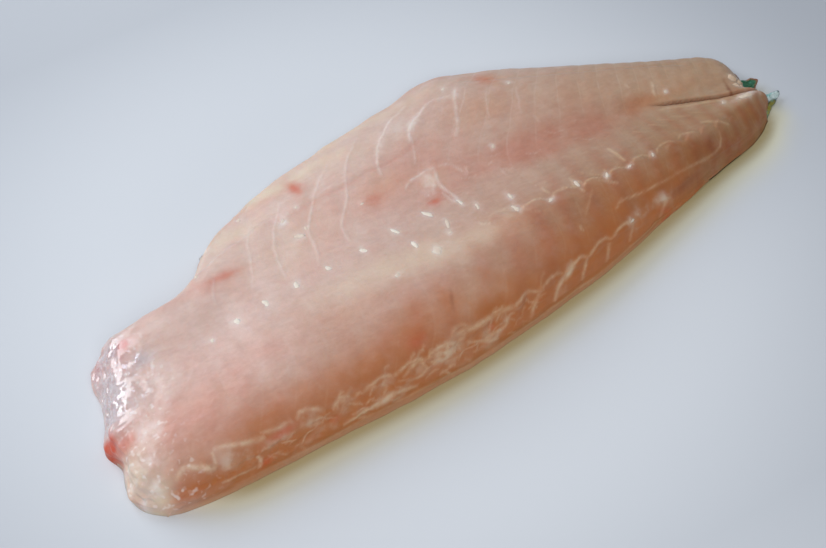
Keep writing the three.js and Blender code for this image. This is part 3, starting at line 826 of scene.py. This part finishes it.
# where a place of the plan falls in the flesh's grid: its row is read off x down a column, and its
# column off y along that row, a few times over
def topPlace(px, py):
    row, column = rows / 2, columns / 2
    for _ in range(4):
        row = np.interp(px, surface[:, int(column), 0], np.arange(rows))
        column = topCut + np.interp(py, surface[int(row), topCut:, 1], np.arange(columns - topCut))
    return row, column


# a field of the grid read between its points
def between(field, places):
    i, j = np.clip(np.array(places).T, 0, [[rows - 1.01], [columns - 1.01]])
    a, b = i.astype(int), j.astype(int)
    fi, fj = (i - a)[:, None], (j - b)[:, None]
    return ((field[a, b] * (1 - fi) + field[a + 1, b] * fi) * (1 - fj)
        + (field[a, b + 1] * (1 - fi) + field[a + 1, b + 1] * fi) * fj)


def unit(vectors):
    return vectors / np.maximum(np.linalg.norm(vectors, axis=-1, keepdims=True), 1e-9)


# a rounded lump lying on the flesh: a ball drawn out along its turn, flattened, and roughened by noise
def lump(px, py, length, width, turn, height, rough, seed, tone=1.0):
    centre, up = between(surface, [topPlace(px, py)])[0], unit(between(normals, [topPlace(px, py)]))[0]
    forward = np.array([math.cos(math.radians(turn)), math.sin(math.radians(turn)), 0])
    forward = unit(forward - up * forward.dot(up))
    side = np.cross(up, forward)
    rings, sides = 11, 16
    latitude = np.linspace(0, math.pi, rings)[1:-1, None]
    longitude = np.linspace(0, 2 * math.pi, sides, endpoint=False)[None, :]
    a, b, c = (np.cos(latitude) + 0 * longitude, np.sin(latitude) * np.cos(longitude),
        np.sin(latitude) * np.sin(longitude))
    swell = 1 + rough * noise(a * 2 + seed, b * 2 + c, 1, seed)
    centre = centre - up * height * .32
    body = [a * swell * length * .55, b * swell * width * .58, c * swell * height * .68]
    ball = centre + sum(part[..., None] * axis for part, axis in zip(body, (forward, side, up)))
    ends = centre + np.array([[length / 2], [-length / 2]]) * forward
    points = np.concatenate([ball.reshape(-1, 3), ends])
    points[:, 2] = np.maximum(points[:, 2], .1)
    count = (rings - 2) * sides
    ring = np.arange(sides)
    faces = [[r * sides + k, (r + 1) * sides + k, (r + 1) * sides + (k + 1) % sides,
        r * sides + (k + 1) % sides]
             for r in range(rings - 3) for k in range(sides)]
    faces += ([[count, k, (k + 1) % sides] for k in ring]
        + [[count + 1, count - sides + (k + 1) % sides, count - sides + k] for k in ring])
    return points, faces, tone


lumps = ([lump(*spec, .3, 60 + k) for k, spec in enumerate(boneEnds)] + [lump(*spec, .3, 80 + k, .6) for k,
    spec in enumerate(torn)])
lumps += [lump(*spec, .5, 150 + k, .3) for k, spec in enumerate(knob)]
bonePoints, boneFaces = joinParts([part[:2] for part in lumps])
tone = np.concatenate([np.full(len(part[0]), part[2]) for part in lumps])
fade = ease(-80, 150, bonePoints[:, 0] - .6 * bonePoints[:, 1])
bonePiece = makePiece("boneEnds", bonePoints * mm, boneFaces, {"tone": tone, "deep": fade})
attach(bonePiece, "root")

material, tree, shader = newMaterial("boneEnd")
grain = useGroup(tree, wetGrain, {"Stretch": 1.5, "Scale": 500.0})
quiet = mixColor(tree, readAttribute(tree, "deep"), (.66, .47, .37, 1), (.48, .32, .20, 1))
color = mixColor(tree, mathNode(tree, "MULTIPLY", readAttribute(tree, "tone"),
    rangeNode(tree, grain.outputs["Mottle"], .35, .65, .75, 1)), quiet, (.92, .83, .72, 1))
tree.links.new(color, shader.inputs["Base Color"])
bumpNode = addNode(tree, "ShaderNodeBump", None,
    {"Strength": .6, "Distance": .0001, "Height": grain.outputs["Height"]})
tree.links.new(bumpNode.outputs[0], shader.inputs["Normal"])
tree.links.new(rangeNode(tree, grain.outputs["Mottle"], .3, .7, .6, .8), shader.inputs["Roughness"])
shader.inputs["Specular IOR Level"].default_value = .25
shader.inputs["Subsurface Weight"].default_value = .4
shader.inputs["Subsurface Radius"].default_value = (1, .85, .75)
shader.inputs["Subsurface Scale"].default_value = .0008
bonePiece.data.materials.append(material)
print("bone ends", len(bonePiece.data.polygons), "faces")


# skin

skin = {"rows": 260, "columns": 60, "thickness": .8, "recess": -1.6, "proud": .5}

skinU = curveThrough([(0, 0), (.1, .06), (.9, .94), (1, 1)], np.linspace(0, 1, skin["rows"]))[:, None]
skinQ = np.linspace(0, 1, skin["columns"])[None, :] + 0 * skinU
skinX, _, skinBack, skinBelly = planOf(skinU + 0 * skinQ, skinQ)
showing = ease(84, 92, skinX) * (1 - ease(122, 132, skinX))
backMargin = skin["recess"] + (skin["proud"] - skin["recess"]) * showing + .3 * noise(skinX, 0 * skinX, 3, 51)
bellyMargin = skin["recess"] + 2.1 * ease(118, 128, skinX) * (1 - ease(136, 142, skinX))
skinY = (skinBack - backMargin) * (1 - skinQ) + (skinBelly + bellyMargin) * skinQ
skinX = skinX * (1 + skin["recess"] / halfLength * 1.5)
skinGrid = np.stack([skinX + middleX, skinY + middleY, skin["thickness"] + 0 * skinX], axis=2)
skinPoints, skinFaces = closedSheet(skinGrid, skin["thickness"] - .05)
parts = [(skinPoints, skinFaces)]

# shreds of skin past the tail: a crumpled strip round the end, drawn out into ragged tongues
shredA = np.linspace(0, 1, 90)[:, None]
shredB = np.linspace(0, 1, 22)[None, :]
endQ = .02 + .80 * shredA + 0 * shredB
endX = curveThrough(tailEnd, endQ) * halfLength
endY = (curveThrough(backEdge, endX / halfLength) * (1 - endQ) + curveThrough(bellyEdge, endX / halfLength)
    * endQ) * halfWidth
reach = (.9 + 5.6 * bump(shredA - .30, .085) + 7.5 * bump(shredA - .58, .08)
    + 2.2 * bump(shredA - .16, .05) + .7 * noise(shredA * 40, 0 * shredA, 3, 53))
reach = reach * ease(0, .06, shredA) * ease(0, .1, 1 - shredA)
outward = -3.5 + (reach + 3.5) * shredB
fold = ease(0, 1, shredB) * (1.6 * bump(shredA - .30, .1) + 2.4 * bump(shredA - .62, .12))
crumple = (ease(.25, .7, shredB) * (1.1 * noise(shredA * 60, shredB * 8, 4, 54)
    + .7 * noise(shredA * 60, shredB * 8, 1.8, 55)))
shredGrid = np.stack([endX + middleX + outward, endY + middleY + .25 * outward * (shredA - .4)
    + crumple * .5, 1.1 + fold + crumple + 0 * outward], axis=2)
shredGrid[..., 2] = np.maximum(shredGrid[..., 2], .5)
parts.append(closedSheet(shredGrid, .35))

skinPoints, skinFaces = joinParts(parts)
tag = np.concatenate([np.zeros(len(parts[0][0])), np.tile((shredA + 0 * shredB).ravel(), 2)])
outer = np.concatenate([np.zeros(len(parts[0][0])), np.tile((shredB + 0 * shredA).ravel(), 2)])
skinPiece = makePiece("skinSurface", skinPoints * mm, skinFaces, {"tag": tag, "outer": outer})
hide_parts("skin")
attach(skinPiece, "root")

skinFinish = {
    "dark": (.02, .03, .02, 1), "green": (.03, .14, .07, 1), "silver": (.55, .66, .66, 1),
    "teal": (.10, .34, .32, 1), "olive": (.30, .27, .04, 1),
    "russet": (.30, .10, .05, 1), "slate": (.07, .12, .14, 1), "roughness": .25,
}
material, tree, shader = newMaterial("skin")
where = addNode(tree, "ShaderNodeTexCoord").outputs["Object"]
scales = addNode(tree, "ShaderNodeTexVoronoi", {"feature": "DISTANCE_TO_EDGE"},
    {"Vector": where, "Scale": 520.0}).outputs["Distance"]
cloud = noiseNode(tree, where, 260, 3, .6)
coarse = noiseNode(tree, where, 60, 3, .6)
tagRead, outerRead = readAttribute(tree, "tag"), readAttribute(tree, "outer")
color = mixColor(tree, rangeNode(tree, coarse, .4, .6), skinFinish["dark"], skinFinish["green"])
color = mixColor(tree, rangeNode(tree, scales, .0, .08, .5, 0), color, skinFinish["dark"])
shredColor = addNode(tree, "ShaderNodeValToRGB", None, {0: tagRead})
stops = shredColor.color_ramp.elements
stops[0].position, stops[0].color = .0, skinFinish["olive"]
stops[1].position, stops[1].color = 1.0, skinFinish["dark"]
for place, key in ((.14, "olive"), (.2, "dark"), (.25, "silver"), (.36, "silver"), (.42, "teal"),
        (.52, "green"), (.7, "green"), (.8, "dark")):
    stop = stops.new(place)
    stop.color = skinFinish[key]
shredMix = mixColor(tree, rangeNode(tree, cloud, .45, .7, 0, .7), shredColor.outputs[0], skinFinish["teal"])
shredMix = mixColor(tree, mathNode(tree, "MULTIPLY",
    rangeNode(tree, mathNode(tree, "ADD", outerRead, mathNode(tree, "MULTIPLY", cloud, .6)), 1.1, 1.3),
    rangeNode(tree, tagRead, .42, .5)), shredMix, skinFinish["russet"])
shredMix = mixColor(tree, mathNode(tree, "MULTIPLY",
    rangeNode(tree, mathNode(tree, "ADD", outerRead, mathNode(tree, "MULTIPLY", cloud, .6)), 1.15, 1.35),
    rangeNode(tree, tagRead, .42, .5, 1, 0)), shredMix, skinFinish["slate"])
color = mixColor(tree, rangeNode(tree, tagRead, 0, .01), color, shredMix)
tree.links.new(color, shader.inputs["Base Color"])
height = mathNode(tree, "ADD", rangeNode(tree, scales, 0, .15), mathNode(tree, "MULTIPLY", cloud, .8))
bumpNode = addNode(tree, "ShaderNodeBump", None, {"Strength": .7, "Distance": .0003, "Height": height})
tree.links.new(bumpNode.outputs[0], shader.inputs["Normal"])
tree.links.new(rangeNode(tree, cloud, .3, .7, skinFinish["roughness"] - .05, skinFinish["roughness"] + .2),
    shader.inputs["Roughness"])
shader.inputs["Coat Weight"].default_value = .5
skinPiece.data.materials.append(material)
print("skin", len(skinPiece.data.polygons), "faces")


# floor

# the board has painted light on it: a warm painted glow beside the back, as of light passed through the
# flesh, less with distance, a painted contact shadow next to the foot, and a painted falloff that makes it
# darker away from the fillet
across, along = np.linspace(-.16, .16, 129), np.linspace(-.22, .24, 185)
across = np.concatenate([[-4], across, [4]])
along = np.concatenate([[-4], along, [4]])
floorGrid = np.stack(np.broadcast_arrays(along[:, None], across[None, :], 0.0), axis=2)
floorX, floorY = floorGrid[..., 0] / mm, floorGrid[..., 1] / mm
outside = curveThrough(backEdge, floorX / halfLength) * halfWidth + middleY - floorY
paintedGlowShadow = (ease(-150, -110, floorX) * (.6 * bump(np.clip(outside, 0, None), 13)
    + .4 * bump(np.clip(outside, 0, None), 5)) * (1 - ease(136, 160, floorX)) * ease(-30, -6, outside))
floor = makePiece("floor", floorGrid.reshape(-1, 3), gridFaces(len(along), len(across))[:, ::-1].tolist(),
    {"paintedGlowShadow": paintedGlowShadow.ravel(), "paintedFalloff": ease(95, 240, np.hypot(floorX + 26, floorY + 6)).ravel()})
material, tree, shader = newMaterial("board")
paintedGlowShadowRead = readAttribute(tree, "paintedGlowShadow")
# painted falloff of light: the board lighter near the fillet and darker away from it
color = mixColor(tree, readAttribute(tree, "paintedFalloff"), (.70, .735, .785, 1), (.44, .47, .52, 1))
# painted glow beside the back, as of light passed through the flesh, then painted contact shadow where it is
# strongest
color = mixColor(tree, rangeNode(tree, paintedGlowShadowRead, 0, .6), color, (.72, .71, .57, 1))
color = mixColor(tree, rangeNode(tree, paintedGlowShadowRead, .45, 1), color, (.46, .39, .21, 1))
tree.links.new(color, shader.inputs["Base Color"])
shader.inputs["Roughness"].default_value = 0.5
floor.data.materials.append(material)
